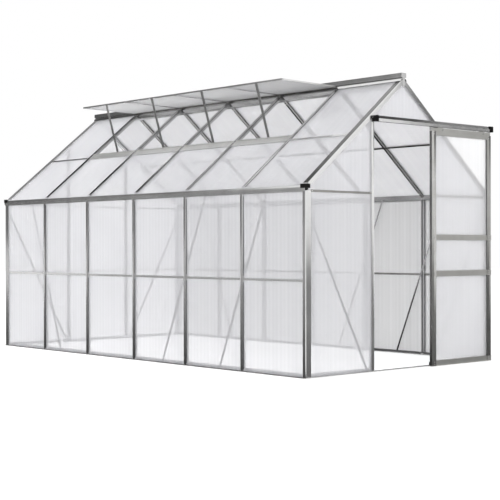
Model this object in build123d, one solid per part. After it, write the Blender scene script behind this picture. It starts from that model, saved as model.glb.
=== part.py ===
from build123d import *
import math
import os

# Layout of the house, in millimetres
# X runs across the gables, Y along the house with the door at -Y, Z up from the ground.
side_bay = 610.0
side_bay_count = 6
gable_bay = 632.7
gable_bay_count = 3
eave_height = 1240.0
roof_pitch = 39.0
mid_rail_height = 633.0
gable_rail_drop = 28.0
roof_bar_rise = 566.0

# Glazing sheets and the slots that hold them
panel_thickness = 6.0
slot_clearance = 0.25
edge_clearance = 0.5

# Extruded bars: posts, rafters, corners and thin strips
wall_thickness = 2.0
bar_width = 26.0
bar_web = 5.0
bar_depth = 22.0
bar_crown = 1.2
crown_flat_share = 0.3
channel_width = 16.0
channel_mouth = 7.0
corner_flange = 44.0
corner_slot_depth = 8.0
corner_radius = 6.0
strip_width = 15.0
strip_web = 3.0

# Sill round the base
sill_outer_height = 12.0
sill_inner_height = 30.0
threshold_height = 10.0

# Eave rail with its gutter
gutter_reach = 14.0
gutter_lean = 3.0
gutter_upright_share = 0.62
rail_below_eave = 27.0
rail_above_eave = 10.0
gutter_above_eave = 6.0
rail_leg = 8.0
corner_cap_thickness = 2.5
corner_cap_rise = 6.0
corner_cap_sleeve = 37.0
corner_cap_reach = 36.0
corner_cap_sleeve_rise = 15.0

# Ridge beam
ridge_half_width = 12.0
ridge_drop = 42.0
ridge_rise = 13.0
ridge_foot = 15.0
ridge_foot_half = 6.0
ridge_neck_half = 4.0
ridge_cap_half = 24.0
ridge_cap_rise = 43.0
ridge_cap_thickness = 3.0
ridge_skirt = 32.0
ridge_plate_thickness = 2.0
hinge_shelf_reach = 22.0
ridge_apron_reach = 33.0
ridge_apron_drop = 14.0

# Roof vents, standing open
vent_count = 4
vent_length = 548.0
vent_gap = 10.0
vent_bar_width = 14.0
vent_slot_depth = 8.0
vent_tilt = 0.9
vent_drip = 2.0
hinge_rise = 5.0
hinge_out = 1.0
hinge_nose = 10.0
hinge_nose_thickness = 4.0
vent_sill_lap = 14.0
vent_sill_reach = 48.0
vent_sill_upstand = 7.0
stay_width = 24.0
stay_thickness = 3.0
stay_shift = 27.0
stay_lean = 36.0
stay_inset = 7.0

# Diagonal braces, with their ends on the long walls as shares of a bay from the middle
brace_width = 15.0
brace_thickness = 2.0
brace_lap = 12.0
wall_brace_top_shares = (2.39, -1.33, -2.37)
wall_brace_bottom_shares = (1.67, -0.51, -1.56)
gable_brace_top_inset = 13.0
gable_brace_top_share = 0.92
gable_brace_foot_share = 0.035

# Sliding door, standing open to the right
door_overlap = 21.65
door_foot = 6.0
door_depth = 20.0
door_clearance = 5.5
door_open_inset = 5.0
stile_width = 45.0
door_rail_height = 38.0
door_top_rail_height = 30.0
door_mid_rail_heights = (640.0, 897.0)
door_slot_depth = 12.0
stile_crown = 2.0
stile_crown_share = 0.45

# Track over the door, with the carrier that hangs in it
lintel_gap = 11.0
track_clearance = 5.0
track_height = 40.0
track_width = 31.0
track_lip = 13.0
track_upturn = 6.0
track_left_inset = 25.0
track_right_inset = 16.0
track_groove_shares = (0.12, 0.22)
track_groove_depth = 1.2
track_slope_share = 0.52
track_slope_reach = 8.0
track_left_cap_length = 16.0
track_right_cap_length = 40.0
track_cap_lip = 2.0
carrier_height = 23.0
carrier_foot = 12.0
carrier_thickness = 3.0
hanger_clearance = 6.25
hanger_spacing = 470.0
hanger_width = 60.0
hanger_head = 10.0
roller_radius = 12.0
roller_width = 6.0
roller_wall_gap = 3.0
axle_radius = 3.0
axle_clearance = 0.2
running_gap = 0.3

# Worked out from the sizes above
overrun = side_bay
half_width = gable_bay * gable_bay_count / 2
half_length = side_bay * side_bay_count / 2
pitch = math.radians(roof_pitch)
slot = panel_thickness / 2 + slot_clearance
bar_face = slot + wall_thickness
bar_top = bar_face + bar_crown
rail_back = half_width - bar_depth
post_top = eave_height - rail_below_eave
gutter_top = eave_height + gutter_above_eave
apex = eave_height + half_width * math.tan(pitch)
gable_rail_height = eave_height - gable_rail_drop
first_vent_bay = (side_bay_count - vent_count) // 2
vent_bays = range(first_vent_bay, first_vent_bay + vent_count)
side_lines = [side_bay * (k - side_bay_count / 2) for k in range(side_bay_count + 1)]
gable_lines = [gable_bay * (k - gable_bay_count / 2) for k in range(gable_bay_count + 1)]
door_post_x = gable_bay / 2
doorway_half = door_post_x - bar_width / 2
sill_leg_in = bar_top + slot_clearance
sill_reach = sill_leg_in + wall_thickness
sill_depth = bar_depth + brace_thickness + wall_thickness
door_width = 2 * (door_post_x + door_overlap)
door_travel = half_width - door_open_inset - door_width / 2
door_middle = sill_reach + door_clearance + door_depth / 2
door_head = apex - doorway_half * math.tan(pitch) - bar_depth / math.cos(pitch)
lintel_height = door_head - lintel_gap - strip_width / 2
track_bottom = lintel_height - track_height / 2
carrier_top = track_bottom - track_clearance
door_top = carrier_top - carrier_height
track_back = bar_top
track_left = track_left_inset - door_post_x
track_right = door_travel + door_width / 2 - track_right_inset
axle_height = track_bottom + wall_thickness + running_gap + roller_radius
rise_z = Vector(0, 0, 1)


class Plate:
    """A flat side of the house: a glazing plane with its own across, rise and outward directions."""

    def __init__(self, origin, across, rise, out):
        self.origin = origin
        self.across = across
        self.rise = rise
        self.out = out

    def at(self, u, r, v=0.0):
        return self.origin + self.across * u + self.rise * r + self.out * v


def long_wall(side):
    return Plate(Vector(side * half_width, 0, 0), Vector(0, 1, 0), rise_z, Vector(side, 0, 0))


def gable(end):
    return Plate(Vector(0, end * half_length, 0), Vector(1, 0, 0), rise_z, Vector(0, end, 0))


def slope(side):
    up_slope = Vector(-side * math.cos(pitch), 0, math.sin(pitch))
    out = Vector(side * math.sin(pitch), 0, math.cos(pitch))
    return Plate(Vector(side * half_width, 0, eave_height), Vector(0, 1, 0), up_slope, out)


def slope_run(x):
    """Distance up the slope from the eave line to a distance x from the middle."""
    return (half_width - x) / math.cos(pitch)


def section(points):
    return make_face(Polyline(*points, close=True))


def rectangle(low, high):
    return section([low, (high[0], low[1]), high, (low[0], high[1])])


def mirrored(points):
    """A closed outline from its right half, listed from top to bottom."""
    return points + [(-u, v) for u, v in reversed(points)]


def prism(face, start, end, first, second):
    """A straight piece from start to end, with the section's axes along first and second."""
    along = first.cross(second)
    if along.dot(end - start) < 0:
        start, end = end, start
    plane = Plane(origin=start, x_dir=first, z_dir=along)
    return extrude(plane * face, amount=(end - start).length)


def trim(piece, point, normal):
    """Cut away what lies past a plane, on the side that its normal points to."""
    return split(piece, bisect_by=Plane(origin=point, z_dir=normal), keep=Keep.BOTTOM)


def sheet(plate, points, thickness=panel_thickness):
    """A flat sheet centred on the glazing plane, from an outline in across and rise."""
    plane = Plane(origin=plate.origin, x_dir=plate.across, z_dir=plate.across.cross(plate.rise))
    return extrude(plane * section(points), amount=thickness / 2, both=True)


def panel(plate, across_span, rise_span):
    (u0, u1), (r0, r1) = across_span, rise_span
    return sheet(plate, [(u0, r0), (u1, r0), (u1, r1), (u0, r1)])


def spans(lines, end_insets, line_inset):
    """Stretches between neighbouring lines, set back from the outer lines and the inner ones."""
    insets = [end_insets[0]] + [line_inset] * (len(lines) - 2) + [end_insets[1]]
    return [(a + i, b - j) for a, b, i, j in zip(lines, lines[1:], insets, insets[1:])]


def flange_on_gable(side, end):
    """Whether a corner post has its wide flange on the gable; one section turns to serve all four corners."""
    return side * end > 0


def wall_bar_spans(side):
    insets = [bar_depth if flange_on_gable(side, end) else corner_flange for end in (-1, 1)]
    return spans(side_lines, insets, bar_width / 2)


def gable_bar_spans(end):
    insets = [corner_flange if flange_on_gable(side, end) else bar_depth for side in (-1, 1)]
    return spans(gable_lines, insets, bar_width / 2)


def roof_bar_spans():
    return spans(side_lines, (corner_flange, corner_flange), bar_width / 2)


def panel_spans(lines):
    inset = corner_slot_depth + edge_clearance
    return spans(lines, (inset, inset), bar_web / 2 + edge_clearance)


# Sections of the extruded bars
def bar_section():
    """Post or rafter: a crowned face, a slot each side for the glazing and a bolt channel behind."""
    half = bar_width / 2
    web = bar_web / 2
    channel = channel_width / 2
    mouth = channel_mouth / 2
    lip = bar_depth - wall_thickness
    return section(mirrored([
        (half * crown_flat_share, bar_top), (half, bar_face), (half, slot), (web, slot), (web, -slot),
        (half, -slot), (half, -bar_face), (channel, -bar_face), (channel, -bar_depth), (mouth, -bar_depth),
        (mouth, -lip), (channel - wall_thickness, -lip), (channel - wall_thickness, -bar_face),
    ]))


def strip_section():
    half = strip_width / 2
    web = strip_web / 2
    return section(mirrored([
        (half, bar_face), (half, slot), (web, slot), (web, -slot), (half, -slot), (half, -bar_face),
    ]))


def corner_section():
    """Corner post or end rafter: a square tube with two slots, a round corner and one wide, sloping flange."""
    deep = corner_slot_depth
    outline = section([
        (-bar_face, -bar_top), (corner_flange, -bar_face), (corner_flange, -slot), (deep, -slot),
        (deep, slot), (bar_depth, slot), (bar_depth, bar_depth), (slot, bar_depth),
        (slot, deep), (-slot, deep), (-slot, bar_depth), (-bar_face, bar_depth),
    ])
    outer_corner = outline.vertices().sort_by(lambda v: v.X + v.Y)[0]
    inner = bar_depth - wall_thickness
    return fillet(outer_corner, corner_radius) - rectangle((bar_face, bar_face), (inner, inner))


def sill_section(outer_height, inner_height):
    """Sill channel: foot on the ground, legs outside the glazing and behind the posts."""
    return section([
        (-sill_depth, 0), (sill_reach, 0), (sill_reach, outer_height), (sill_leg_in, outer_height),
        (sill_leg_in, wall_thickness), (wall_thickness - sill_depth, wall_thickness),
        (wall_thickness - sill_depth, inner_height), (-sill_depth, inner_height),
    ])


def eave_section():
    """Eave rail: a plate that the rafters butt against, a gutter, and a leg over the wall sheets."""
    floor = post_top + wall_thickness
    upright_top = post_top + (gutter_top - post_top) * gutter_upright_share
    gutter_in = gutter_reach - wall_thickness
    plate_top = eave_height + rail_above_eave
    return section([
        (-bar_depth, post_top), (sill_leg_in, post_top), (sill_leg_in, post_top - rail_leg),
        (sill_reach, post_top - rail_leg), (sill_reach, post_top), (gutter_reach, post_top),
        (gutter_reach, upright_top), (gutter_reach - gutter_lean, gutter_top),
        (gutter_in - gutter_lean, gutter_top), (gutter_in, upright_top), (gutter_in, floor),
        (wall_thickness - bar_depth, floor), (wall_thickness - bar_depth, plate_top), (-bar_depth, plate_top),
    ])


def ridge_section():
    """Ridge beam: a box over a tapered foot, with a hinge shelf, an apron and a skirted cap."""
    box_top = apex + ridge_rise
    apron_low = apex - ridge_apron_drop
    top = apex + ridge_cap_rise
    under = top - ridge_cap_thickness
    skirt_in = ridge_cap_half - wall_thickness
    shelf = apex + hinge_rise - hinge_nose_thickness / 2 - running_gap
    outline = section(mirrored([
        (ridge_cap_half, top), (ridge_cap_half, top - ridge_skirt), (skirt_in, top - ridge_skirt),
        (skirt_in, under), (ridge_neck_half, under), (ridge_neck_half, box_top),
        (ridge_half_width, box_top), (ridge_half_width, shelf), (hinge_shelf_reach, shelf),
        (ridge_apron_reach, apron_low), (ridge_apron_reach - wall_thickness, apron_low),
        (hinge_shelf_reach - wall_thickness, shelf - wall_thickness),
        (ridge_half_width, shelf - wall_thickness), (ridge_half_width, apex - ridge_drop),
        (ridge_foot_half, apex - ridge_drop - ridge_foot),
    ]))
    inner = ridge_half_width - wall_thickness
    low = (-inner, apex - ridge_drop + wall_thickness)
    return outline - rectangle(low, (inner, box_top - wall_thickness))


def vent_sill_section():
    """Sill under a vent: a strip for the sheet below, with an upstand on the side of the opening."""
    low = -vent_sill_lap
    high = vent_sill_reach
    web = strip_web / 2
    upstand = bar_face + vent_sill_upstand
    return section([
        (low, bar_face), (low, slot), (-web, slot), (-web, -slot), (low, -slot), (low, -bar_face),
        (-low, -bar_face), (-low, -slot), (web, -slot), (web, slot), (high, slot), (high, upstand),
        (high - wall_thickness, upstand), (high - wall_thickness, bar_face),
    ])


# Sills
def side_sill(side):
    wall = long_wall(side)
    face = sill_section(sill_outer_height, sill_inner_height)
    piece = prism(face, wall.at(-half_length - overrun, 0), wall.at(half_length + overrun, 0),
                  wall.out, rise_z)
    for end in (-1, 1):
        piece = trim(piece, wall.at(end * half_length, 0), Vector(-side, end, 0))
    return piece


def gable_sill(end, start_x, end_x):
    wall = gable(end)
    face = sill_section(sill_outer_height, sill_inner_height)
    piece = prism(face, wall.at(start_x, 0), wall.at(end_x, 0), wall.out, rise_z)
    for side in (-1, 1):
        piece = trim(piece, wall.at(side * half_width, 0), Vector(side, -end, 0))
    return piece


def door_threshold():
    wall = gable(-1)
    face = sill_section(threshold_height, threshold_height)
    return prism(face, wall.at(-doorway_half, 0), wall.at(doorway_half, 0), wall.out, rise_z)


# Posts, rails and strips
def wall_post(wall, u):
    return prism(bar_section(), wall.at(u, wall_thickness), wall.at(u, post_top), wall.across, wall.out)


def corner_post(side, end):
    foot = Vector(side * half_width, end * half_length, wall_thickness)
    head = Vector(side * half_width, end * half_length, post_top)
    across, along = Vector(-side, 0, 0), Vector(0, -end, 0)
    if flange_on_gable(side, end):
        return prism(corner_section(), foot, head, across, along)
    return prism(corner_section(), foot, head, along, across)


def gable_post(end, side):
    """Post of a gable, cut at its head to the underside of the end rafter."""
    wall = gable(end)
    roof = slope(side)
    u = side * door_post_x
    piece = prism(bar_section(), wall.at(u, wall_thickness), wall.at(u, apex), wall.across, wall.out)
    return trim(piece, roof.at(0, 0, -bar_depth), roof.out)


def eave_rail(side):
    wall = long_wall(side)
    reach = half_length + bar_face
    return prism(eave_section(), wall.at(-reach, 0), wall.at(reach, 0), wall.out, rise_z)


def strip(plate, span, r):
    return prism(strip_section(), plate.at(span[0], r), plate.at(span[1], r), plate.rise, plate.out)


def eave_corner_cap(side, end):
    """Moulded cap on the end of the eave rail: a plate with a tab, and a sleeve over the gutter."""
    wall = long_wall(side)
    y = end * (half_length + bar_face)
    inner = gutter_reach + slot_clearance
    outer = inner + corner_cap_thickness
    over = gutter_top + slot_clearance
    lid_in = gutter_reach - gutter_lean - wall_thickness
    top = eave_height + rail_above_eave + corner_cap_rise
    tab = post_top
    sleeve_low = post_top + corner_cap_sleeve_rise
    plate_face = section([
        (-corner_cap_reach, sleeve_low), (-bar_face, sleeve_low), (-bar_face, tab), (sill_reach, tab),
        (sill_reach, sleeve_low), (outer, sleeve_low), (outer, top), (-corner_cap_reach, top),
    ])
    sleeve_face = section([
        (inner, sleeve_low), (outer, sleeve_low), (outer, top), (lid_in, top), (lid_in, over), (inner, over),
    ])
    plate = prism(plate_face, wall.at(y, 0), wall.at(y + end * corner_cap_thickness, 0), wall.out, rise_z)
    sleeve = prism(sleeve_face, wall.at(y - end * corner_cap_sleeve, 0), wall.at(y, 0), wall.out, rise_z)
    return plate + sleeve


# Roof frame
def plumb_cuts(piece, side):
    """Cut a rafter upright against the eave rail and the ridge beam."""
    piece = trim(piece, Vector(side * rail_back, 0, 0), Vector(side, 0, 0))
    return trim(piece, Vector(side * ridge_half_width, 0, 0), Vector(-side, 0, 0))


def rafter(side, y):
    roof = slope(side)
    piece = prism(bar_section(), roof.at(y, 0), roof.at(y, slope_run(-bar_depth)), roof.across, roof.out)
    return plumb_cuts(piece, side)


def end_rafter(side, end):
    roof = slope(side)
    y = end * half_length
    piece = prism(corner_section(), roof.at(y, 0), roof.at(y, slope_run(-bar_depth)),
                  Vector(0, -end, 0), roof.out * -1)
    return plumb_cuts(piece, side)


def ridge_beam():
    reach = half_length + bar_face
    return prism(ridge_section(), Vector(0, -reach, 0), Vector(0, reach, 0), Vector(1, 0, 0), rise_z)


def ridge_end_plate(end):
    """Plate that closes the end of the ridge beam."""
    top = apex + ridge_cap_rise
    face = section(mirrored([
        (ridge_cap_half, top), (ridge_cap_half, top - ridge_skirt), (ridge_half_width, top - ridge_skirt),
        (ridge_half_width, apex - ridge_drop),
    ]))
    near = Vector(0, end * (half_length + bar_face), 0)
    far = near + Vector(0, end * ridge_plate_thickness, 0)
    return prism(face, near, far, Vector(1, 0, 0), rise_z)


def vent_sill(bay):
    roof = slope(-1)
    u0, u1 = roof_bar_spans()[bay]
    return prism(vent_sill_section(), roof.at(u0, roof_bar_rise), roof.at(u1, roof_bar_rise),
                 roof.rise, roof.out)


# Braces
def brace(wall, top, bottom):
    """Flat strip behind the posts, cut level at both ends."""
    (u1, r1), (u0, r0) = top, bottom
    half = brace_width / 2 / math.cos(math.atan2(u1 - u0, r1 - r0))
    face = section([(u0 - half, r0), (u0 + half, r0), (u1 + half, r1), (u1 - half, r1)])
    normal = wall.across.cross(wall.rise)
    depth = bar_depth if normal.dot(wall.out) < 0 else bar_depth + brace_thickness
    plane = Plane(origin=wall.origin + normal * (normal.dot(wall.out) * -depth),
                  x_dir=wall.across, z_dir=normal)
    return extrude(plane * face, amount=brace_thickness)


def wall_braces(side):
    wall = long_wall(side)
    head = post_top + brace_lap
    return [brace(wall, (top * side_bay, head), (foot * side_bay, wall_thickness))
            for top, foot in zip(wall_brace_top_shares, wall_brace_bottom_shares)]


def gable_brace(end, side):
    top = (side * (half_width - gable_brace_top_inset), eave_height * gable_brace_top_share)
    foot = (side * (door_post_x + gable_bay * gable_brace_foot_share), wall_thickness)
    return brace(gable(end), top, foot)


# Glazing
def wall_rows():
    """Lower and upper heights of the two rows of wall sheets."""
    half_web = strip_web / 2 + edge_clearance
    lower = (wall_thickness, mid_rail_height - half_web)
    upper = (mid_rail_height + half_web, post_top - edge_clearance)
    return lower, upper


def roof_rows():
    half_web = strip_web / 2 + edge_clearance
    lower = (0, roof_bar_rise - half_web)
    head = ridge_half_width + edge_clearance + panel_thickness / 2 * math.sin(pitch)
    upper = (roof_bar_rise + half_web, slope_run(head))
    return lower, upper


def rake_height(x):
    """Height of the upper edge of a gable sheet inside the end rafter's slot."""
    edge = (corner_slot_depth + edge_clearance) / math.cos(pitch)
    return eave_height + (half_width - x) * math.tan(pitch) - edge


def gable_side_sheet(end, side):
    """Sheet over the gable rail, beside the middle bay and under the rafter."""
    inner = door_post_x + bar_web / 2 + edge_clearance
    outer = rail_back - edge_clearance
    low = gable_rail_height + strip_web / 2 + edge_clearance
    points = [(inner, low), (outer, low), (outer, rake_height(outer)), (inner, rake_height(inner))]
    return sheet(gable(end), [(side * u, r) for u, r in points])


def gable_peak_sheet(end, bottom):
    """Sheet under the peak, from a height up to both rafters, with a notch for the ridge beam."""
    side_u = door_post_x - bar_web / 2 - edge_clearance
    notch_u = ridge_half_width + edge_clearance
    notch = apex - ridge_drop - ridge_foot - edge_clearance
    return sheet(gable(end), mirrored([
        (notch_u, notch), (notch_u, rake_height(notch_u)), (side_u, rake_height(side_u)), (side_u, bottom),
    ]))


def front_panels():
    wall = gable(-1)
    bays = panel_spans(gable_lines)
    side_row = (wall_thickness, gable_rail_height - strip_web / 2 - edge_clearance)
    over_door = lintel_height + strip_web / 2 + edge_clearance
    pieces = [panel(wall, bays[k], side_row) for k in (0, -1)]
    pieces += [gable_side_sheet(-1, side) for side in (-1, 1)]
    return pieces + [gable_peak_sheet(-1, over_door)]


def back_panels():
    wall = gable(1)
    half_web = strip_web / 2 + edge_clearance
    rows = [(wall_thickness, mid_rail_height - half_web),
            (mid_rail_height + half_web, gable_rail_height - half_web)]
    pieces = [panel(wall, span, row) for span in panel_spans(gable_lines) for row in rows]
    pieces += [gable_side_sheet(1, side) for side in (-1, 1)]
    return pieces + [gable_peak_sheet(1, gable_rail_height + half_web)]


# Roof vents
def vent_plate():
    tilt = math.radians(vent_tilt)
    origin = Vector(-ridge_cap_half - hinge_out, 0, apex + hinge_rise)
    out_along = Vector(-math.cos(tilt), 0, math.sin(tilt))
    return Plate(origin, Vector(0, 1, 0), out_along, Vector(math.sin(tilt), 0, math.cos(tilt)))


def vent_span(bay):
    return side_lines[bay] + vent_gap / 2, side_lines[bay + 1] - vent_gap / 2


def vent_cross_bar(bay, outline):
    plate = vent_plate()
    u0, u1 = vent_span(bay)
    return prism(section(outline), plate.at(u0, 0), plate.at(u1, 0), plate.rise, plate.out)


def vent_hinge_bar(bay):
    nose = hinge_nose_thickness / 2
    width = vent_bar_width
    deep = vent_bar_width - vent_slot_depth
    return vent_cross_bar(bay, [
        (-hinge_nose, -nose), (0, -nose), (0, -bar_face), (width, -bar_face), (width, -slot),
        (deep, -slot), (deep, slot), (width, slot), (width, bar_face), (0, bar_face), (0, nose),
        (-hinge_nose, nose),
    ])


def vent_edge_bar(bay):
    inner = vent_length - vent_bar_width
    deep = inner + vent_slot_depth
    lip = vent_length - wall_thickness
    return vent_cross_bar(bay, [
        (inner, -bar_face), (lip, -bar_face), (lip, -bar_face - vent_drip),
        (vent_length, -bar_face - vent_drip), (vent_length, bar_face), (inner, bar_face),
        (inner, slot), (deep, slot), (deep, -slot), (inner, -slot),
    ])


def vent_side_bars(bay):
    plate = vent_plate()
    face = section([
        (0, -bar_face), (vent_bar_width, -bar_face), (vent_bar_width, -slot),
        (vent_bar_width - vent_slot_depth, -slot), (vent_bar_width - vent_slot_depth, slot),
        (vent_bar_width, slot), (vent_bar_width, bar_face), (0, bar_face),
    ])
    run = (vent_bar_width, vent_length - vent_bar_width)
    u0, u1 = vent_span(bay)
    return [prism(face, plate.at(u, run[0]), plate.at(u, run[1]), plate.across * turn, plate.out)
            for u, turn in ((u0, 1), (u1, -1))]


def vent_panel(bay):
    edge = vent_bar_width - vent_slot_depth + edge_clearance
    u0, u1 = vent_span(bay)
    return panel(vent_plate(), (u0 + edge, u1 - edge), (edge, vent_length - edge))


def vent_stay(bay):
    """Flat stay from under the vent's free edge down to the sill's upstand, leaning along the house."""
    plate = vent_plate()
    roof = slope(-1)
    head_u = (side_lines[bay] + side_lines[bay + 1]) / 2 - stay_shift
    foot_r = roof_bar_rise + vent_sill_reach - wall_thickness / 2
    top = plate.at(head_u, vent_length - stay_inset, -bar_face)
    foot = roof.at(head_u - stay_lean, foot_r, bar_face + vent_sill_upstand)
    along = (top - foot).normalized()
    flat = (plate.across - along * plate.across.dot(along)).normalized()
    half = (stay_width / 2, stay_thickness / 2)
    face = rectangle((-half[0], -half[1]), half)
    piece = prism(face, foot - along * bar_width, top + along * bar_width, flat, along.cross(flat))
    return trim(trim(piece, top, plate.out), foot, roof.out * -1)


# Door track on the front gable
def door_lintel():
    return strip(gable(-1), (-doorway_half, doorway_half), lintel_height)


def track_section():
    """Track: back plate on the posts, top, a front skirt that slopes over a groove, and a roller lip."""
    back = track_back
    inside = back + wall_thickness
    front = back + track_width
    top = track_bottom + track_height
    lip_out = back + track_lip
    groove = [track_bottom + track_height * share for share in track_groove_shares]
    slope_foot = track_bottom + track_height * track_slope_share
    brow = front - track_slope_reach
    return section([
        (back, track_bottom), (lip_out, track_bottom),
        (lip_out, track_bottom + wall_thickness + track_upturn),
        (lip_out - wall_thickness, track_bottom + wall_thickness + track_upturn),
        (lip_out - wall_thickness, track_bottom + wall_thickness),
        (inside, track_bottom + wall_thickness), (inside, top - wall_thickness),
        (brow - wall_thickness, top - wall_thickness), (front - wall_thickness, slope_foot),
        (front - wall_thickness, track_bottom), (front, track_bottom), (front, groove[0]),
        (front - track_groove_depth, groove[0]), (front - track_groove_depth, groove[1]),
        (front, groove[1]), (front, slope_foot), (brow, top), (back, top),
    ])


def door_track():
    wall = gable(-1)
    return prism(track_section(), wall.at(track_left, 0), wall.at(track_right, 0), wall.out, rise_z)


def track_end_cap(start, turn, length):
    """Hollow plug over the end of the track, open below and towards the track."""
    wall = gable(-1)
    low = (track_back, track_bottom)
    high = (track_back + track_width + track_cap_lip, track_bottom + track_height + track_cap_lip)
    outer = prism(rectangle(low, high), wall.at(start, 0), wall.at(start + turn * length, 0),
                  wall.out, rise_z)
    depth = length - wall_thickness
    inner = prism(rectangle((low[0] + wall_thickness, track_bottom),
                            (high[0] - wall_thickness, high[1] - wall_thickness)),
                  wall.at(start, 0), wall.at(start + turn * depth, 0), wall.out, rise_z)
    return outer - inner


# Sliding door
def door_plate():
    """Middle plane of the door sheets, with its origin at the middle of the open door."""
    wall = gable(-1)
    return Plate(wall.at(door_travel, 0, door_middle), wall.across, rise_z, wall.out)


def door_member(width, both_edges, crown=None):
    """Box section of the door frame: a glazing slot on one or both edges, and a crowned front if asked."""
    half = door_depth / 2
    deep = door_slot_depth
    right = [(width, -half), (width, -slot), (width - deep, -slot), (width - deep, slot),
             (width, slot), (width, half)]
    left = [(0, half), (0, -half)]
    core_low = wall_thickness
    if both_edges:
        left = [(0, half), (0, slot), (deep, slot), (deep, -slot), (0, -slot), (0, -half)]
        core_low = deep + wall_thickness
    core_high = width - deep - wall_thickness
    core = rectangle((core_low, wall_thickness - half), (core_high, half - wall_thickness))
    front = [(width * stile_crown_share, half + crown)] if crown else []
    return section(right + front + left) - core


def door_stile(side):
    plate = door_plate()
    u = side * door_width / 2
    return prism(door_member(stile_width, False, stile_crown), plate.at(u, door_foot), plate.at(u, door_top),
                 plate.across * -side, plate.out)


def door_rail(bottom, height, both_edges, turn):
    """Cross rail between the stiles; turn is -1 where its slot faces down."""
    plate = door_plate()
    reach = door_width / 2 - stile_width
    base = bottom if turn > 0 else bottom + height
    return prism(door_member(height, both_edges), plate.at(-reach, base), plate.at(reach, base),
                 plate.rise * turn, plate.out)


def door_rails():
    pieces = [door_rail(door_foot, door_rail_height, False, 1)]
    pieces += [door_rail(height, door_rail_height, True, 1) for height in door_mid_rail_heights]
    return pieces + [door_rail(door_top - door_top_rail_height, door_top_rail_height, False, -1)]


def door_panels():
    inset = door_slot_depth - edge_clearance
    reach = door_width / 2 - stile_width + inset
    bottoms = [h + door_rail_height for h in (door_foot, *door_mid_rail_heights)]
    tops = [*door_mid_rail_heights, door_top - door_top_rail_height]
    return [panel(door_plate(), (-reach, reach), (low - inset, high + inset))
            for low, high in zip(bottoms, tops)]


def carrier_back():
    """Distance of the carrier's back face from the middle plane of the door."""
    return track_back + track_lip + hanger_clearance - door_middle


def door_carrier():
    """Angle along the top of the door that the roller hangers stand on."""
    plate = door_plate()
    back = carrier_back()
    front = back + carrier_thickness
    foot = door_top + carrier_thickness
    face = section([
        (front - carrier_foot, door_top), (front, door_top), (front, carrier_top), (back, carrier_top),
        (back, foot), (front - carrier_foot, foot),
    ])
    reach = door_width / 2
    return prism(face, plate.at(-reach, 0), plate.at(reach, 0), plate.out, rise_z)


def roller_place(side):
    """Middle of a roller: beside the back plate of the track, just over its lip."""
    wall = gable(-1)
    back = track_back + wall_thickness + roller_wall_gap
    return wall.at(door_travel + side * hanger_spacing / 2, axle_height, back + roller_width / 2)


def roller_hanger(side):
    """Plate standing on the carrier, with the roller's axle."""
    plate = door_plate()
    u = side * hanger_spacing / 2
    back = carrier_back()
    face = rectangle((back, carrier_top), (back + carrier_thickness, axle_height + hanger_head))
    plate_piece = prism(face, plate.at(u - hanger_width / 2, 0), plate.at(u + hanger_width / 2, 0),
                        plate.out, rise_z)
    middle = roller_place(side)
    start = middle - plate.out * (roller_width / 2)
    length = (plate.at(u, 0, back) - start).dot(plate.out)
    axle_plane = Plane(origin=start, x_dir=plate.across, z_dir=plate.out)
    return plate_piece + extrude(axle_plane * Circle(axle_radius), amount=length)


def door_roller(side):
    plate = door_plate()
    wheel_plane = Plane(origin=roller_place(side), x_dir=plate.across, z_dir=plate.out)
    face = Circle(roller_radius) - Circle(axle_radius + axle_clearance)
    return extrude(wheel_plane * face, amount=roller_width / 2, both=True)


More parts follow.
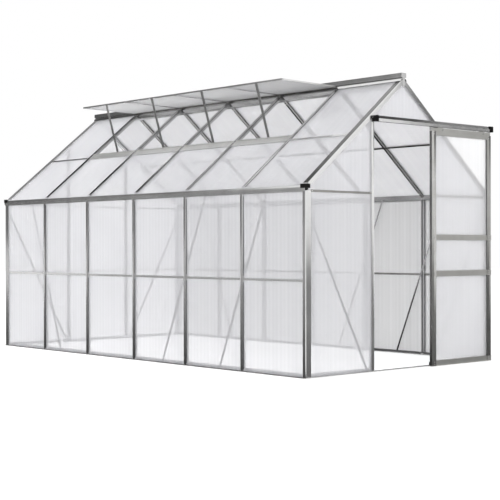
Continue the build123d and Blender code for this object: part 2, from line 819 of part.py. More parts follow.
# Every node of the house with its pieces
def house_nodes():
    sides = {"left": -1, "right": 1}
    ends = {"front": -1, "back": 1}
    inner_lines = side_lines[1:-1]
    roof_bars = roof_bar_spans()
    side_sheets = panel_spans(side_lines)
    roof_low, roof_high = roof_rows()
    nodes = {}
    for name, side in sides.items():
        wall = long_wall(side)
        roof = slope(side)
        fixed = [k for k in range(side_bay_count) if side > 0 or k not in vent_bays]
        nodes[f"{name}_sill"] = [side_sill(side)]
        nodes[f"{name}_wall_posts"] = [wall_post(wall, y) for y in inner_lines]
        nodes[f"{name}_eave_rail"] = [eave_rail(side)]
        nodes[f"{name}_mid_rails"] = [strip(wall, span, mid_rail_height) for span in wall_bar_spans(side)]
        nodes[f"{name}_rafters"] = [rafter(side, y) for y in inner_lines]
        nodes[f"{name}_roof_bars"] = [strip(roof, roof_bars[k], roof_bar_rise) for k in fixed]
        nodes[f"{name}_wall_braces"] = wall_braces(side)
        nodes[f"{name}_wall_panels"] = [panel(wall, span, row) for span in side_sheets for row in wall_rows()]
        nodes[f"{name}_roof_panels"] = [panel(roof, span, roof_low) for span in side_sheets]
        nodes[f"{name}_roof_panels"] += [panel(roof, side_sheets[k], roof_high) for k in fixed]
    for name, end in ends.items():
        nodes[f"{name}_gable_rafters"] = [end_rafter(side, end) for side in (-1, 1)]
        nodes[f"{name}_gable_braces"] = [gable_brace(end, side) for side in (-1, 1)]
    nodes["front_sills"] = [gable_sill(-1, -half_width - overrun, -doorway_half),
                            gable_sill(-1, doorway_half, half_width + overrun)]
    nodes["door_threshold"] = [door_threshold()]
    nodes["back_sill"] = [gable_sill(1, -half_width - overrun, half_width + overrun)]
    nodes["corner_posts"] = [corner_post(side, end) for side in (-1, 1) for end in (-1, 1)]
    nodes["door_posts"] = [gable_post(-1, side) for side in (-1, 1)]
    nodes["back_gable_posts"] = [gable_post(1, side) for side in (-1, 1)]
    nodes["front_gable_rails"] = [strip(gable(-1), gable_bar_spans(-1)[k], gable_rail_height) for k in (0, -1)]
    back_heights = (mid_rail_height, gable_rail_height)
    nodes["back_gable_rails"] = [strip(gable(1), span, z) for span in gable_bar_spans(1) for z in back_heights]
    nodes["eave_corner_caps"] = [eave_corner_cap(side, end) for side in (-1, 1) for end in (-1, 1)]
    nodes["ridge_beam"] = [ridge_beam()]
    nodes["ridge_end_plates"] = [ridge_end_plate(end) for end in (-1, 1)]
    nodes["front_gable_panels"] = front_panels()
    nodes["back_gable_panels"] = back_panels()
    nodes["vent_sills"] = [vent_sill(bay) for bay in vent_bays]
    nodes["vent_hinge_bars"] = [vent_hinge_bar(bay) for bay in vent_bays]
    nodes["vent_edge_bars"] = [vent_edge_bar(bay) for bay in vent_bays]
    nodes["vent_side_bars"] = [bar for bay in vent_bays for bar in vent_side_bars(bay)]
    nodes["vent_panels"] = [vent_panel(bay) for bay in vent_bays]
    nodes["vent_stays"] = [vent_stay(bay) for bay in vent_bays]
    nodes["door_lintel"] = [door_lintel()]
    nodes["door_track"] = [door_track()]
    nodes["track_end_caps"] = [track_end_cap(track_left, -1, track_left_cap_length),
                               track_end_cap(track_right, 1, track_right_cap_length)]
    return nodes


def door_nodes():
    return {
        "door_stiles": [door_stile(side) for side in (-1, 1)],
        "door_rails": door_rails(),
        "door_panels": door_panels(),
        "door_carrier": [door_carrier()],
        "roller_hangers": [roller_hanger(side) for side in (-1, 1)],
        "door_rollers": [door_roller(side) for side in (-1, 1)],
    }


os.makedirs("parts", exist_ok=True)
for name, pieces in {**house_nodes(), **door_nodes()}.items():
    solids = [solid for piece in pieces for solid in piece.solids()]
    export_step(Compound(solids) if len(solids) > 1 else solids[0], f"parts/{name}.step")
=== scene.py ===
import math

import bmesh
import bpy
from mathutils import Matrix, Vector

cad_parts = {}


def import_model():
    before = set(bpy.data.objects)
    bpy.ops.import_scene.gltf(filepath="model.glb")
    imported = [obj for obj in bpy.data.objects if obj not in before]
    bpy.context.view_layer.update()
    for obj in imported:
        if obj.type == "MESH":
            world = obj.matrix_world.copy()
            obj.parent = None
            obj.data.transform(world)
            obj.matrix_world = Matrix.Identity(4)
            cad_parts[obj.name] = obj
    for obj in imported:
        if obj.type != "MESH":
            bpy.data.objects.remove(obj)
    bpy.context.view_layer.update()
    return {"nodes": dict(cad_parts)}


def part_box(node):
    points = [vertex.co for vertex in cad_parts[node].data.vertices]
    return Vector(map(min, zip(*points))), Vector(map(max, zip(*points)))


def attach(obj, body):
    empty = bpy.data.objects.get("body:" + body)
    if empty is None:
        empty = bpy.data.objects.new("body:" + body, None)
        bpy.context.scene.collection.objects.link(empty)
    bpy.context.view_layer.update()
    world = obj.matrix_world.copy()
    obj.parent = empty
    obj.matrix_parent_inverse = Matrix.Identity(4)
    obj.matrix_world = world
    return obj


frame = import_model()
nodes = frame["nodes"]

# Sizes in metres
roof_pitch = math.radians(39.0)
bay_count = 6
bar_width = 0.026
flute_pitch = 0.010
stripe_pitch = 0.037
web_thickness = 0.0005
web_inset = 0.0006
bolt_flats = 0.010
bolt_height = 0.004
bolt_edge_share = 0.8
bolt_top_share = 0.82
washer_radius = 0.0065
washer_height = 0.001
washer_sides = 16
screw_radius = 0.0042
screw_height = 0.0022
screw_profile_shares = ((1.0, 0.0), (1.0, 0.45), (0.8, 0.85), (0.4, 1.0))
screw_sides = 14
screw_inset = 0.012
nut_inset = 0.045
strap_thickness = 0.0008
seal_width = 0.003
seal_height = 0.001
seal_clear = 0.020
foot_bolt_share = 1 / 2
head_bolt_share = 1 / 3
carrier_bolt_shares = (0.185, 0.875)
carrier_bolt_height_share = 0.4
door_screw_height_shares = (0.3, 0.7)
door_screw_stile_share = 0.6
same_point = 1e-6
same_face = 1e-4

# Places taken from the frame
wall_low, wall_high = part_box("left_wall_posts")
sill_low, sill_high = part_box("left_sill")
eave_low, eave_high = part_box("left_eave_rail")
door_low, door_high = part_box("door_stiles")
door_rail_low, door_rail_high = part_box("door_rails")
carrier_low, carrier_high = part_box("door_carrier")
side_bay = (wall_high.y - wall_low.y - bar_width) / (bay_count - 2)
post_lines = [side_bay * (k - bay_count / 2) for k in range(1, bay_count)]

# Shader graphs
noise_span = (0.3, 0.7)
slope_face_cosine = 0.93
upright_face_cosine = 0.95


class Graph:
    """A material with a Principled shader, and a short way to add nodes to it."""

    def __init__(self, name, **constants):
        self.material = bpy.data.materials.new(name)
        self.material.use_nodes = True
        self.tree = self.material.node_tree
        self.shader = self.tree.nodes["Principled BSDF"]
        for socket, value in constants.items():
            self.shader.inputs[socket.replace("_", " ")].default_value = value

    def add(self, kind, inputs=None, **settings):
        node = self.tree.nodes.new(kind)
        for key, value in settings.items():
            setattr(node, key, value)
        for key, value in (inputs or {}).items():
            self.feed(node.inputs[key], value)
        return node

    def feed(self, socket, value):
        if isinstance(value, bpy.types.NodeSocket):
            self.tree.links.new(value, socket)
        else:
            socket.default_value = value

    def place(self):
        return self.add("ShaderNodeTexCoord").outputs["Object"]

    def axis(self, name):
        return self.add("ShaderNodeSeparateXYZ", {"Vector": self.place()}).outputs[name]

    def noise(self, vector, scale, detail=3.0):
        node = self.add("ShaderNodeTexNoise", {"Vector": vector, "Scale": scale, "Detail": detail})
        return node.outputs["Fac"]

    def stretched(self, turn, scale):
        """Object coordinates turned about Y, then scaled along each axis."""
        turned = self.add("ShaderNodeMapping", {"Vector": self.place(), "Rotation": (0, turn, 0)})
        return self.add("ShaderNodeMapping", {"Vector": turned.outputs[0], "Scale": scale}).outputs[0]

    def math(self, operation, *values):
        return self.add("ShaderNodeMath", dict(enumerate(values)), operation=operation).outputs[0]

    def between(self, factor, low, high):
        """A number that runs from low to high over the span of a noise."""
        least, most = noise_span
        spread = {"Value": factor, "From Min": least, "From Max": most, "To Min": low, "To Max": high}
        return self.add("ShaderNodeMapRange", spread).outputs[0]

    def colours(self, factor, first, second):
        """A colour that runs from the first to the second over the span of a noise."""
        ramp = self.add("ShaderNodeValToRGB", {"Fac": factor})
        for k, colour in enumerate((first, second)):
            ramp.color_ramp.elements[k].position = noise_span[k]
            ramp.color_ramp.elements[k].color = (*colour, 1)
        return ramp.outputs["Color"]

    def times(self, colour, grey):
        inputs = {"Fac": 1.0, "Color1": colour, "Color2": grey}
        return self.add("ShaderNodeMixRGB", inputs, blend_type="MULTIPLY").outputs[0]

    def tint(self, colour, factor, low, high):
        """The colour times a grey that runs from low to high."""
        return self.times(colour, self.colours(factor, (low,) * 3, (high,) * 3))

    def ramp_along(self, corner, way, low, high):
        """A grey that runs from low to high along a direction from a corner."""
        step = Vector(way) / Vector(way).length_squared
        offset = self.add("ShaderNodeVectorMath", {0: self.place(), 1: corner}, operation="SUBTRACT")
        along = self.add("ShaderNodeVectorMath", {0: offset.outputs[0], 1: step}, operation="DOT_PRODUCT")
        ramp = self.add("ShaderNodeValToRGB", {"Fac": along.outputs["Value"]})
        for k, grey in enumerate((low, high)):
            ramp.color_ramp.elements[k].color = (grey, grey, grey, 1)
        return ramp.outputs["Color"]

    def normal(self):
        facing = self.add("ShaderNodeNewGeometry").outputs["Normal"]
        return self.add("ShaderNodeSeparateXYZ", {"Vector": facing}).outputs

    def slope_faces(self):
        """1 on the faces that lie along a roof slope, 0 on the others."""
        normal = self.normal()
        sideways = self.math("MULTIPLY", self.math("ABSOLUTE", normal["X"]), math.sin(roof_pitch))
        upward = self.math("MULTIPLY", normal["Z"], math.cos(roof_pitch))
        return self.math("GREATER_THAN", self.math("ADD", sideways, upward), slope_face_cosine)

    def upright_faces(self):
        """1 on the faces that look straight across the house, 0 on the others."""
        return self.math("GREATER_THAN", self.math("ABSOLUTE", self.normal()["X"]), upright_face_cosine)

    def bump(self, height, strength, distance):
        node = self.add("ShaderNodeBump", {"Height": height, "Strength": strength, "Distance": distance})
        self.feed(self.shader.inputs["Normal"], node.outputs["Normal"])


# Shades: the two colours that a cloudy film runs between
mill_shades = ((0.76, 0.76, 0.757), (0.86, 0.86, 0.857))
# Painted shade: a darker copy of the mill colour for the vent sills, for the shade along their edges.
shaded_sill_shades = ((0.66, 0.66, 0.65), (0.74, 0.74, 0.73))
# Painted shade: a darker copy of the mill colour, for bars that lie in shade.
shaded_metal_shades = ((0.28, 0.275, 0.265), (0.38, 0.375, 0.36))
door_shades = ((0.52, 0.515, 0.495), (0.62, 0.615, 0.60))
door_rail_shades = ((0.58, 0.575, 0.55), (0.68, 0.675, 0.65))
stay_shades = ((0.44, 0.44, 0.435), (0.54, 0.54, 0.535))
clear_shades = ((0.90, 0.90, 0.925), (0.94, 0.94, 0.96))
shaded_shades = ((0.72, 0.72, 0.725), (0.78, 0.78, 0.785))
# Painted light: a whiter copy of the sheet colour, for the brightly lit door.
lit_door_shades = ((0.97, 0.97, 0.98), (0.99, 0.99, 1.0))
# Painted shade: a darker copy of the sheet colour, for the vents' shaded undersides.
shaded_vent_shades = ((0.80, 0.80, 0.80), (0.86, 0.86, 0.86))
web_shades = ((0.80, 0.80, 0.84), (0.90, 0.90, 0.93))
black_shades = ((0.004, 0.004, 0.004), (0.008, 0.008, 0.008))
steel_shades = ((0.55, 0.55, 0.54), (0.72, 0.72, 0.71))
floor_shades = ((0.86, 0.86, 0.86), (0.88, 0.88, 0.88))

# Painted shade ramps: a corner, a way from it, and the tints at the two ends of that way; the lower tint is
# painted shade
mid_height = (0, 0, 0.45)
mid_rise = (0, 0, 0.3)
front_line = (0, post_lines[0], 0)
one_bay = (0, side_bay, 0)
all_vents = (0, post_lines[-1] - post_lines[0], 0)
beside_ridge = (-0.1, 0, 0)
across_ridge = (0.2, 0, 0)
left_stile = (door_low.x, 0, 0)
across_door = (door_high.x - door_low.x, 0, 0)
vent_shade_ramp = (front_line, all_vents, 0.61, 1.0)
brace_shade_ramp = (mid_height, mid_rise, 0.1, 0.4)
right_brace_shade_ramp = (mid_height, mid_rise, 0.25, 0.75)
gable_shade_ramp = (beside_ridge, across_ridge, 1.0, 0.5)
left_rafter_shade_ramp = (front_line, one_bay, 1.0, 0.6)
right_rafter_shade_ramp = (front_line, one_bay, 0.62, 1.0)
stile_shade_ramp = (left_stile, across_door, 1.0, 0.7)

# Die lines run along a bar, and gloss is a span of roughness
along_bar = 1.2
across_bar = 260.0
streak_scales = {
    "x": (along_bar, across_bar, across_bar),
    "y": (across_bar, along_bar, across_bar),
    "z": (across_bar, across_bar, along_bar),
}
bright_gloss = (0.12, 0.22)
satin_gloss = (0.36, 0.46)


# Materials
def aluminium(name, run, turn=0.0, shades=mill_shades, slope_face_shade=1.0, upright_face_shade=1.0,
              gloss=bright_gloss, metallic=1.0, shade_ramp=None):
    """Mill-finish extrusion: die lines along the bar, a cloudy oxide film and a soft gloss. An optional ramp
    along the piece, and darker faces along a slope or straight across the house, paint shade into its colour.
    """
    g = Graph(name, Metallic=metallic)
    lines = g.noise(g.stretched(turn, streak_scales[run]), scale=1.0, detail=4.0)
    cloud = g.noise(g.place(), scale=7.0, detail=5.0)
    film = g.colours(cloud, *shades)
    # Painted shade: the ramp darkens the colour along the piece where shade falls.
    if shade_ramp:
        film = g.times(film, g.ramp_along(*shade_ramp))
    # Painted shade on the faces that lie along a roof slope and on those that look straight across the house.
    if slope_face_shade < 1.0:
        film = g.tint(film, g.slope_faces(), low=1.0, high=slope_face_shade)
    if upright_face_shade < 1.0:
        film = g.tint(film, g.upright_faces(), low=1.0, high=upright_face_shade)
    wear = g.math("ADD", g.math("MULTIPLY", cloud, 0.5), g.math("MULTIPLY", lines, 0.5))
    g.feed(g.shader.inputs["Base Color"], g.tint(film, lines, low=0.94, high=1.0))
    g.feed(g.shader.inputs["Roughness"], g.between(wear, *gloss))
    g.bump(lines, strength=0.04, distance=0.0004)
    return g.material


def twin_wall(name, across, shades=clear_shades, stripe=0.985, cover=0.44, shade_ramp=None):
    """Hazy twin-wall sheet: soft bands and fine stripes along its webs, and a faint lavender tint. An optional
    ramp paints shade along it.
    """
    g = Graph(name, Transmission_Weight=0.45, IOR=1.2, Alpha=cover)
    position = g.axis(across)
    noise = g.add("ShaderNodeTexNoise", {"W": position, "Scale": 21.0, "Detail": 1.0}, noise_dimensions="1D")
    bands = noise.outputs["Fac"]
    wave = g.math("SINE", g.math("MULTIPLY", position, math.tau / stripe_pitch))
    stripes = g.math("MULTIPLY_ADD", wave, 0.5, 0.5)
    film = g.colours(bands, *shades)
    # Painted shade: the ramp darkens the sheet along its length where shade falls.
    if shade_ramp:
        film = g.times(film, g.ramp_along(*shade_ramp))
    g.feed(g.shader.inputs["Base Color"], g.tint(film, stripes, low=stripe, high=1.0))
    g.feed(g.shader.inputs["Roughness"], g.between(bands, low=0.80, high=0.95))
    return g.material


def web(name):
    """Inner webs of the twin-wall sheets."""
    g = Graph(name, Roughness=0.5, Alpha=0.22)
    grain = g.noise(g.place(), scale=40.0, detail=2.0)
    g.feed(g.shader.inputs["Base Color"], g.colours(grain, *web_shades))
    return g.material


def moulded_black(name):
    """Black moulded plastic with a fine spark grain."""
    g = Graph(name, Specular_IOR_Level=0.15)
    grain = g.noise(g.place(), scale=900.0, detail=2.0)
    cloud = g.noise(g.place(), scale=30.0, detail=3.0)
    g.feed(g.shader.inputs["Base Color"], g.colours(cloud, *black_shades))
    g.feed(g.shader.inputs["Roughness"], g.between(grain, low=0.42, high=0.62))
    g.bump(grain, strength=0.25, distance=0.0002)
    return g.material


def plated_steel(name):
    """Bright plated bolts and screws."""
    g = Graph(name, Metallic=1.0)
    cloud = g.noise(g.place(), scale=220.0, detail=3.0)
    g.feed(g.shader.inputs["Base Color"], g.colours(cloud, *steel_shades))
    g.feed(g.shader.inputs["Roughness"], g.between(cloud, low=0.18, high=0.34))
    g.bump(cloud, strength=0.1, distance=0.0002)
    return g.material


metal_x = aluminium("aluminium_across", "x")
metal_y = aluminium("aluminium_along", "y")
# Painted shade: faces of the posts that look across the house are darker.
metal_z = aluminium("aluminium_upright", "z", upright_face_shade=0.75)
# Painted shade: the rafters behind the front one are darker.
metal_left_slope = aluminium("aluminium_left_slope", "x", roof_pitch, shade_ramp=left_rafter_shade_ramp)
# Painted shade: darker copies of the aluminium for the far bars, the front gable rails and the vent hinge
# bars.
shaded_metal_x = aluminium("shaded_aluminium_across", "x", shades=shaded_metal_shades)
shaded_metal_y = aluminium("shaded_aluminium_along", "y", shades=shaded_metal_shades)
shaded_metal_z = aluminium("shaded_aluminium_upright", "z", shades=shaded_metal_shades)
# Painted shade: the right rafters get the darker door colour, and a ramp that darkens the front one.
shaded_right_slope = aluminium("shaded_aluminium_right_slope", "x", -roof_pitch, shades=door_shades,
                             shade_ramp=right_rafter_shade_ramp)
door_metal_x = aluminium("door_aluminium_across", "x", shades=door_rail_shades, gloss=satin_gloss)
# Painted shade: the stiles' faces that look across the house are darker, and the right stile is darker than
# the left.
door_metal_z = aluminium("door_aluminium_upright", "z", shades=door_shades, upright_face_shade=0.35, shade_ramp=stile_shade_ramp)
stay_metal = aluminium("stay_aluminium", "z", shades=stay_shades)
# Painted shade: faces along the slopes are much darker, and the rafter right of the ridge is darker than the
# left one.
gable_slope = aluminium("aluminium_gable_slope", "x", slope_face_shade=0.3, shade_ramp=gable_shade_ramp)
# Painted shade: the braces are darker than the mill colour, and darkest below mid-height.
brace_metal = aluminium("aluminium_brace", "z", shade_ramp=brace_shade_ramp)
right_brace_metal = aluminium("aluminium_right_brace", "z", shade_ramp=right_brace_shade_ramp)
# Painted shade: the right eave rail gets the darker colour of the stays.
shaded_right_eave_metal = aluminium("shaded_aluminium_right_eave", "y", shades=stay_shades)
# Painted shade: the right posts' faces that look across the house are much darker.
right_post_metal = aluminium("aluminium_right_upright", "z", upright_face_shade=0.15, gloss=satin_gloss,
                             metallic=0.35)
back_slope = aluminium("aluminium_back_slope", "x", gloss=satin_gloss)
# Painted shade: the ridge's faces that look across the house are darker.
ridge_metal = aluminium("aluminium_ridge", "y", upright_face_shade=0.7)
# Painted shade: the vent sills are darker than the mill colour.
sill_metal = aluminium("aluminium_vent_sill", "y", shades=shaded_sill_shades, gloss=satin_gloss, metallic=0.65)
sheet_wall = twin_wall("twin_wall_side", "Y", stripe=0.955)
sheet_roof = twin_wall("twin_wall_roof", "Y", stripe=0.995)
# Painted shade: darker vent sheets, darker still toward the front.
sheet_vent = twin_wall("twin_wall_vent", "Y", shaded_vent_shades, stripe=0.995, cover=0.62, shade_ramp=vent_shade_ramp)
sheet_gable = twin_wall("twin_wall_gable", "X", stripe=0.97)
# Painted light: the door's sheet is whiter than the other sheets.
sheet_door = twin_wall("twin_wall_door", "X", lit_door_shades)
sheet_back = twin_wall("twin_wall_back", "X", stripe=0.955)
sheet_right = twin_wall("twin_wall_right", "Y", shaded_shades, stripe=0.955, cover=0.66)
sheet_right_roof = twin_wall("twin_wall_right_roof", "Y", stripe=0.995, cover=0.5)
web_finish = web("twin_wall_webs")
black = moulded_black("black_plastic")
steel = plated_steel("plated_steel")

# Materials by node: real finishes, and the copies that paint shade and light.
finishes_and_painted_shades = {
    metal_x: ["front_sills", "back_sill", "door_threshold", "back_gable_rails", "door_lintel", "door_track",
              "vent_side_bars", "ridge_end_plates"],
    gable_slope: ["front_gable_rafters"],
    back_slope: ["back_gable_rafters"],
    metal_y: ["left_sill", "right_sill", "left_eave_rail", "left_mid_rails", "vent_edge_bars",
              "left_roof_bars"],
    sill_metal: ["vent_sills"],
    ridge_metal: ["ridge_beam"],
    metal_z: ["left_wall_posts", "corner_posts", "door_posts"],
    right_post_metal: ["right_wall_posts"],
    shaded_metal_z: ["back_gable_posts"],
    brace_metal: ["left_wall_braces", "front_gable_braces", "back_gable_braces"],
    right_brace_metal: ["right_wall_braces"],
    shaded_right_eave_metal: ["right_eave_rail"],
    metal_left_slope: ["left_rafters"],
    shaded_right_slope: ["right_rafters"],
    shaded_metal_x: ["front_gable_rails"],
    shaded_metal_y: ["right_roof_bars", "right_mid_rails", "vent_hinge_bars"],
    door_metal_x: ["door_rails", "door_carrier", "roller_hangers"],
    door_metal_z: ["door_stiles"],
    stay_metal: ["vent_stays"],
    sheet_wall: ["left_wall_panels"],
    sheet_right: ["right_wall_panels"],
    sheet_roof: ["left_roof_panels"],
    sheet_right_roof: ["right_roof_panels"],
    sheet_vent: ["vent_panels"],
    sheet_gable: ["front_gable_panels"],
    sheet_door: ["door_panels"],
    sheet_back: ["back_gable_panels"],
    black: ["eave_corner_caps", "track_end_caps", "door_rollers"],
}


def dress(node, material):
    mesh = nodes[node].data
    mesh.materials.clear()
    mesh.materials.append(material)


# Shapes that the added pieces are made of
def solids(node):
    """Corner points and edges of each separate solid in a node."""
    bm = bmesh.new()
    bm.from_mesh(nodes[node].data)
    bmesh.ops.remove_doubles(bm, verts=bm.verts, dist=same_point)
    waiting = set(bm.verts)
    groups = []
    while waiting:
        front = [waiting.pop()]
        group = []
        while front:
            vert = front.pop()
            group.append(vert)
            for edge in vert.link_edges:
                other = edge.other_vert(vert)
                if other in waiting:
                    waiting.remove(other)
                    front.append(other)
        points = [v.co.copy() for v in group]
        edges = {e for v in group for e in v.link_edges}
        groups.append((points, [(e.verts[0].co.copy(), e.verts[1].co.copy()) for e in edges]))
    bm.free()
    return groups


def mesh_object(name, bm, material):
    mesh = bpy.data.meshes.new(name)
    bm.to_mesh(mesh)
    bm.free()
    mesh.materials.append(material)
    obj = bpy.data.objects.new(name, mesh)
    bpy.context.scene.collection.objects.link(obj)
    return obj


def piece(name, bm, body, material):
    obj = mesh_object(name, bm, material)
    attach(obj, body)
    return obj


def ring(bm, centre, first, second, radius, sides):
    verts = []
    for k in range(sides):
        angle = math.tau * k / sides
        verts.append(bm.verts.new(centre + (first * math.cos(angle) + second * math.sin(angle)) * radius))
    return verts


def turned(bm, at, normal, profile, sides):
    """A closed turned shape on a surface: (radius, height) steps from the surface to the top."""
    normal = normal.normalized()
    helper = Vector((0, 0, 1)) if abs(normal.z) < 0.9 else Vector((1, 0, 0))
    first = helper.cross(normal).normalized()
    second = normal.cross(first)
    rings = [ring(bm, at + normal * height, first, second, radius, sides) for radius, height in profile]
    bm.faces.new(list(reversed(rings[0])))
    for low, high in zip(rings, rings[1:]):
        for k in range(sides):
            nxt = (k + 1) % sides
            bm.faces.new((low[k], low[nxt], high[nxt], high[k]))
    bm.faces.new(rings[-1])


def hex_bolt(bm, at, normal):
    """Bolt head on its washer."""
    corner = bolt_flats / math.sqrt(3)
    head = [(corner, 0), (corner, bolt_height * bolt_edge_share), (corner * bolt_top_share, bolt_height)]
    turned(bm, at, normal, [(washer_radius, 0), (washer_radius, washer_height)], washer_sides)
    turned(bm, at + normal.normalized() * washer_height, normal, head, 6)


def pan_screw(bm, at, normal):
    """Domed screw head."""
    head = [(screw_radius * wide, screw_height * high) for wide, high in screw_profile_shares]
    turned(bm, at, normal, head, screw_sides)


def box(bm, low, high, place=Matrix.Identity(3)):
    """Box between two corners, in axes that the columns of place give."""
    corners = []
    for x in (low.x, high.x):
        for y in (low.y, high.y):
            for z in (low.z, high.z):
                corners.append(bm.verts.new(place @ Vector((x, y, z))))
    for face in ((0, 1, 3, 2), (4, 6, 7, 5), (0, 4, 5, 1), (2, 3, 7, 6), (0, 2, 6, 4), (1, 5, 7, 3)):
        bm.faces.new([corners[k] for k in face])


# Webs of the twin-wall sheets
def web_box(bm, edges, across, position):
    """Thin wall inside a sheet where the plane at this position cuts its edges."""
    cuts = []
    for a, b in edges:
        if (a[across] - position) * (b[across] - position) < 0:
            cuts.append(a.lerp(b, (position - a[across]) / (b[across] - a[across])))
    middle = sum(cuts, Vector()) / len(cuts)
    long_way = max((p - middle for p in cuts), key=lambda d: d.length)
    normal = Vector((0, 0, 0))
    normal[across] = 1.0
    side_way = normal.cross(long_way).normalized()
    upper = [p for p in cuts if (p - middle).dot(side_way) > 0]
    lower = [p for p in cuts if (p - middle).dot(side_way) <= 0]
    rise = long_way.normalized()
    corners = []
    for group, sign in ((upper, -1), (lower, 1)):
        ends = (min(group, key=lambda p: p.dot(rise)), max(group, key=lambda p: p.dot(rise)))
        corners.append([p + side_way * sign * web_inset for p in ends])
    outline = [corners[0][0], corners[0][1], corners[1][1], corners[1][0]]
    near = [bm.verts.new(p - normal * web_thickness / 2) for p in outline]
    far = [bm.verts.new(p + normal * web_thickness / 2) for p in outline]
    bm.faces.new(near)
    bm.faces.new(list(reversed(far)))
    for k in range(4):
        nxt = (k + 1) % 4
        bm.faces.new((near[nxt], near[k], far[k], far[nxt]))


def webs(sheets, across, body):
    """Webs inside every twin-wall sheet of a node, one flute apart along an axis."""
    bm = bmesh.new()
    for points, edges in solids(f"{sheets}_panels"):
        lo = min(p[across] for p in points) + flute_pitch / 2
        hi = max(p[across] for p in points)
        count = int((hi - lo) / flute_pitch)
        for k in range(count + 1):
            web_box(bm, edges, across, lo + k * flute_pitch)
    return piece(f"{sheets}_webs", bm, body, web_finish)


# Fasteners of the house, and dark seal strips that also paint the shade in the gaps beside the bars
def brace_bolts(bm, points):
    """A bolt near the head of a brace, on its inner face."""
    middle = sum(points, Vector()) / len(points)
    thin = min(range(2), key=lambda k: max(p[k] for p in points) - min(p[k] for p in points))
    inward = Vector((0, 0, 0))
    inward[thin] = -math.copysign(1, middle[thin])
    top = max(p.z for p in points)
    head = [p for p in points if p.z > top - same_face]
    centre = sum(head, Vector()) / len(head)
    along = (middle - centre).normalized()
    face = max(p.dot(inward) for p in points)
    at = centre + along * bolt_flats
    at[thin] = face * inward[thin]
    hex_bolt(bm, at, inward)


def house_bolts():
    """Bolts on the inner faces: posts to sill and eave, and the heads of the braces."""
    bm = bmesh.new()
    foot = sill_low.z + (sill_high.z - sill_low.z) * foot_bolt_share
    head = eave_low.z + (eave_high.z - eave_low.z) * head_bolt_share
    for side in (-1, 1):
        inward = Vector((-side, 0, 0))
        leg = side * abs(sill_high.x)
        plate = side * abs(eave_high.x)
        for y in post_lines:
            hex_bolt(bm, Vector((leg, y, foot)), inward)
            hex_bolt(bm, Vector((plate, y, head)), inward)
    for wall in ("left_wall", "right_wall", "front_gable", "back_gable"):
        for points, _edges in solids(f"{wall}_braces"):
            brace_bolts(bm, points)
    return piece("house_bolts", bm, "house", steel)


def end_fasteners(bm, node, along, outward, fasten, inset):
    """A fastener near both ends of each bar of a node, on the face that looks outward."""
    for points, _edges in solids(node):
        reach = max(p.dot(outward) for p in points)
        face = [p for p in points if p.dot(outward) > reach - same_face]
        middle = sum(face, Vector()) / len(face)
        runs = [p.dot(along) for p in face]
        for run in (min(runs) + inset, max(runs) - inset):
            fasten(bm, middle + along * (run - middle.dot(along)), outward)


def frame_screws():
    """Pan screws at the ends of the thin rails, and bolts in the channels of the rafters."""
    bm = bmesh.new()
    along_y = Vector((0, 1, 0))
    along_x = Vector((1, 0, 0))
    for side, name in ((-1, "left"), (1, "right")):
        out = Vector((side * math.sin(roof_pitch), 0, math.cos(roof_pitch)))
        rise = Vector((-side * math.cos(roof_pitch), 0, math.sin(roof_pitch)))
        end_fasteners(bm, f"{name}_mid_rails", along_y, Vector((side, 0, 0)), pan_screw, screw_inset)
        end_fasteners(bm, f"{name}_roof_bars", along_y, out, pan_screw, screw_inset)
        end_fasteners(bm, f"{name}_rafters", rise, -out, hex_bolt, nut_inset)
    end_fasteners(bm, "front_gable_rails", along_x, Vector((0, -1, 0)), pan_screw, screw_inset)
    end_fasteners(bm, "back_gable_rails", along_x, Vector((0, 1, 0)), pan_screw, screw_inset)
    return piece("frame_screws", bm, "house", steel)


def edge_seal_and_shade(bm, points, outward):
    """Dark seal strips on the outer face of one sheet, beside the bars at its two edges; they also stand in
    for the shade in the gaps there.
    """
    across = Vector((0, 1, 0))
    along = across.cross(outward)
    place = Matrix((along, across, outward)).transposed()
    reach = max(p.dot(outward) for p in points)
    runs = [p.dot(along) for p in points if p.dot(outward) > reach - same_face]
    start_run, end_run = min(runs) + seal_clear, max(runs) - seal_clear
    low = min(p.y for p in points)
    high = max(p.y for p in points)
    for line in post_lines:
        for edge, way in ((low, 1), (high, -1)):
            if abs(edge - line) < bar_width / 2:
                start = line + way * bar_width / 2
                left, right = sorted((start, start + way * seal_width))
                foot = Vector((start_run, left, reach))
                top = Vector((end_run, right, reach + seal_height))
                box(bm, foot, top, place)


def seal_and_shade_strips():
    """Dark glazing seal strips beside the posts and the rafters of both long sides, which also paint the shade
    in the gaps between bars and sheets.
    """
    bm = bmesh.new()
    for side, name in ((-1, "left"), (1, "right")):
        slope = Vector((side * math.sin(roof_pitch), 0, math.cos(roof_pitch)))
        for part, outward in (("wall", Vector((side, 0, 0))), ("roof", slope)):
            for points, _edges in solids(f"{name}_{part}_panels"):
                edge_seal_and_shade(bm, points, outward)
    return piece("glazing_seal_and_shade_strips", bm, "house", black)


# Fittings of the door
def strapped(rail_top):
    """True for the rails below the top one, which have a strap."""
    return rail_top < door_rail_high.z - strap_thickness


def door_screws():
    """Pan screws where the rails meet both stiles, on the straps where a rail has one."""
    bm = bmesh.new()
    outward = Vector((0, -1, 0))
    stile = (door_high.x - door_low.x - (door_rail_high.x - door_rail_low.x)) / 2
    inset = stile * door_screw_stile_share
    for points, _edges in solids("door_rails"):
        low = min(p.z for p in points)
        high = max(p.z for p in points)
        right_face = door_low.y - strap_thickness if strapped(high) else door_low.y
        for share in door_screw_height_shares:
            z = low + (high - low) * share
            pan_screw(bm, Vector((door_low.x + inset, door_low.y, z)), outward)
            pan_screw(bm, Vector((door_high.x - inset, right_face, z)), outward)
    return piece("door_screws", bm, "door", steel)


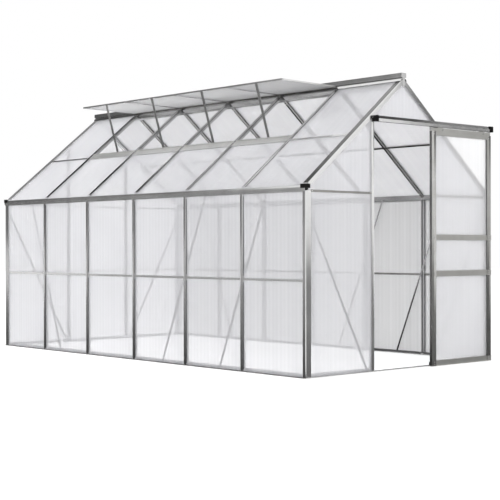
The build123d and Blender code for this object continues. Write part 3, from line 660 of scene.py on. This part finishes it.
def door_rail_ends():
    """Straps that carry the lower three rails across the front of the right stile."""
    bm = bmesh.new()
    for points, _edges in solids("door_rails"):
        low = min(p.z for p in points)
        high = max(p.z for p in points)
        if strapped(high):
            foot = Vector((door_rail_high.x, door_low.y - strap_thickness, low))
            box(bm, foot, Vector((door_high.x, door_low.y, high)))
    return piece("door_rail_straps", bm, "door", door_metal_x)


def carrier_bolts():
    """The two bolts that hold the carrier to the hangers, on its front."""
    bm = bmesh.new()
    length = carrier_high.x - carrier_low.x
    z = carrier_low.z + (carrier_high.z - carrier_low.z) * carrier_bolt_height_share
    for share in carrier_bolt_shares:
        hex_bolt(bm, Vector((carrier_low.x + length * share, carrier_low.y, z)), Vector((0, -1, 0)))
    return piece("carrier_bolts", bm, "door", steel)


for material, names in finishes_and_painted_shades.items():
    for node in names:
        dress(node, material)
for sheets in ("left_wall", "right_wall", "left_roof", "right_roof", "vent"):
    webs(sheets, 1, "house")
for sheets in ("front_gable", "back_gable"):
    webs(sheets, 0, "house")
webs("door", 0, "door")
house_bolts()
frame_screws()
seal_and_shade_strips()
door_screws()
door_rail_ends()
carrier_bolts()

# Floor and world
floor_half = 30.0
floor_drop = 0.001
floor_glow = 0.56
fill_light = 0.55

# Lamps: power in watts, size, place and target
lamps = {
    "key": (300.0, 4.0, (2.0, -9.0, 5.0), (0, 0, 1)),
    "side": (650.0, 4.0, (-7.0, 6.0, 7.5), (0, 0.5, 1)),
}

# Cards for the reflections: a corner, two sides, and the greys at the two ends of the first side
cards = {
    "left_back_card": ((-14.0, 9.0, 0.9), (10.0, 0, 0), (0, 0, 5.2), (0.6, 0.07)),
    "back_card": ((-4.0, 9.0, 0.9), (14.0, 0, 0), (0, 0, 10.6), (0.06, 0.03)),
    "right_card": ((9.0, -4.0, 0.5), (0, 13.0, 0), (0, 0, 8.0), (0.03, 0.03)),
    "top_card": ((3.2, -6.5, 5.4), (2.5, 0, 0), (0, 3.4, 0), (0.03, 0.03)),
    "front_card": ((7.65, -8.33, 2.2), (5.35, 4.33, 0), (0, 0, 6.0), (0.25, 0.25)),
    "front_floor_card": ((-1.0, -1.88, 0.002), (0, -8.0, 0), (12.0, 0, 0), (0.14, 0.24)),
    "front_low_card": ((-1.0, -9.88, 0.002), (0, 0, 0.86), (12.0, 0, 0), (0.24, 0.6)),
    "left_floor_card": ((-0.98, -2.0, 0.002), (-8.0, 0, 0), (0, 14.0, 0), (0.05, 0.28)),
    "left_low_card": ((-8.98, -2.0, 0.002), (0, 0, 0.72), (0, 14.0, 0), (0.3, 0.9)),
    "inner_floor_card": ((-0.88, -1.78, 0.003), (1.76, 0, 0), (0, 3.56, 0), (0.06, 0.06)),
}

# Camera, with its lens and sensor in millimetres
lens_length = 89.2
sensor_width = 36.0
camera_place = (-6.531, -7.486, 0.859)
camera_heading = math.radians(-42.054)
camera_tilt = math.radians(90 - 0.203)
camera_roll = math.radians(-0.083)
sheet_layers = 32


def floor():
    """Pale floor that looks white to the camera and in reflections."""
    g = Graph("pale_floor", Roughness=0.9, Emission_Color=(1, 1, 1, 1))
    path = g.add("ShaderNodeLightPath").outputs
    seen = g.math("MAXIMUM", g.math("MAXIMUM", path["Is Camera Ray"], path["Is Glossy Ray"]),
                  path["Is Transmission Ray"])
    grain = g.noise(g.place(), scale=1.5)
    g.feed(g.shader.inputs["Base Color"], g.colours(grain, *floor_shades))
    g.feed(g.shader.inputs["Emission Strength"], g.math("MULTIPLY", seen, floor_glow))
    bm = bmesh.new()
    corners = [(-1, -1), (1, -1), (1, 1), (-1, 1)]
    bm.faces.new([bm.verts.new((x * floor_half, y * floor_half, -floor_drop)) for x, y in corners])
    obj = mesh_object("floor", bm, g.material)


def world():
    """Even light from all round that looks white to the camera and in reflections."""
    sky = bpy.data.worlds.new("studio")
    bpy.context.scene.world = sky
    sky.use_nodes = True
    tree = sky.node_tree
    background = tree.nodes["Background"]
    background.inputs["Color"].default_value = (1, 1, 1, 1)
    path = tree.nodes.new("ShaderNodeLightPath")
    either = tree.nodes.new("ShaderNodeMath")
    either.operation = "MAXIMUM"
    tree.links.new(path.outputs["Is Camera Ray"], either.inputs[0])
    tree.links.new(path.outputs["Is Glossy Ray"], either.inputs[1])
    seen = tree.nodes.new("ShaderNodeMath")
    seen.operation = "MAXIMUM"
    tree.links.new(either.outputs[0], seen.inputs[0])
    tree.links.new(path.outputs["Is Transmission Ray"], seen.inputs[1])
    strength = tree.nodes.new("ShaderNodeMapRange")
    strength.inputs["To Min"].default_value = fill_light
    strength.inputs["To Max"].default_value = 1.0
    tree.links.new(seen.outputs[0], strength.inputs["Value"])
    tree.links.new(strength.outputs[0], background.inputs["Strength"])


def card(name, corner, first, second, greys):
    """A card beside the set that only shows in reflections, graded along its first side."""
    g = Graph(name, Roughness=1.0)
    g.feed(g.shader.inputs["Base Color"], g.ramp_along(corner, first, *greys))
    corner, first, second = Vector(corner), Vector(first), Vector(second)
    outline = [corner, corner + first, corner + first + second, corner + second]
    bm = bmesh.new()
    bm.faces.new([bm.verts.new(p) for p in outline])
    obj = mesh_object(name, bm, g.material)
    obj.visible_camera = False
    obj.visible_diffuse = False
    obj.visible_transmission = False
    obj.visible_shadow = False


def lamp(name, power, size, place, target):
    """Square lamp that looks at a target and doesn't show in reflections."""
    light = bpy.data.lights.new(name, "AREA")
    light.energy = power
    light.size = size
    obj = bpy.data.objects.new(name, light)
    bpy.context.scene.collection.objects.link(obj)
    obj.location = place
    obj.visible_glossy = False
    obj.rotation_euler = (Vector(target) - Vector(place)).to_track_quat("-Z", "Y").to_euler()


def camera():
    data = bpy.data.cameras.new("camera")
    data.lens = lens_length
    data.sensor_width = sensor_width
    obj = bpy.data.objects.new("camera", data)
    bpy.context.scene.collection.objects.link(obj)
    heading = Matrix.Rotation(camera_heading, 4, "Z")
    tilt = Matrix.Rotation(camera_tilt, 4, "X")
    roll = Matrix.Rotation(camera_roll, 4, "Z")
    obj.matrix_world = Matrix.Translation(camera_place) @ heading @ tilt @ roll
    bpy.context.scene.camera = obj


floor()
world()
for name, settings in lamps.items():
    lamp(name, *settings)
for name, settings in cards.items():
    card(name, *settings)
camera()
bpy.context.scene.view_settings.view_transform = "Standard"
bpy.context.scene.cycles.transparent_max_bounces = sheet_layers
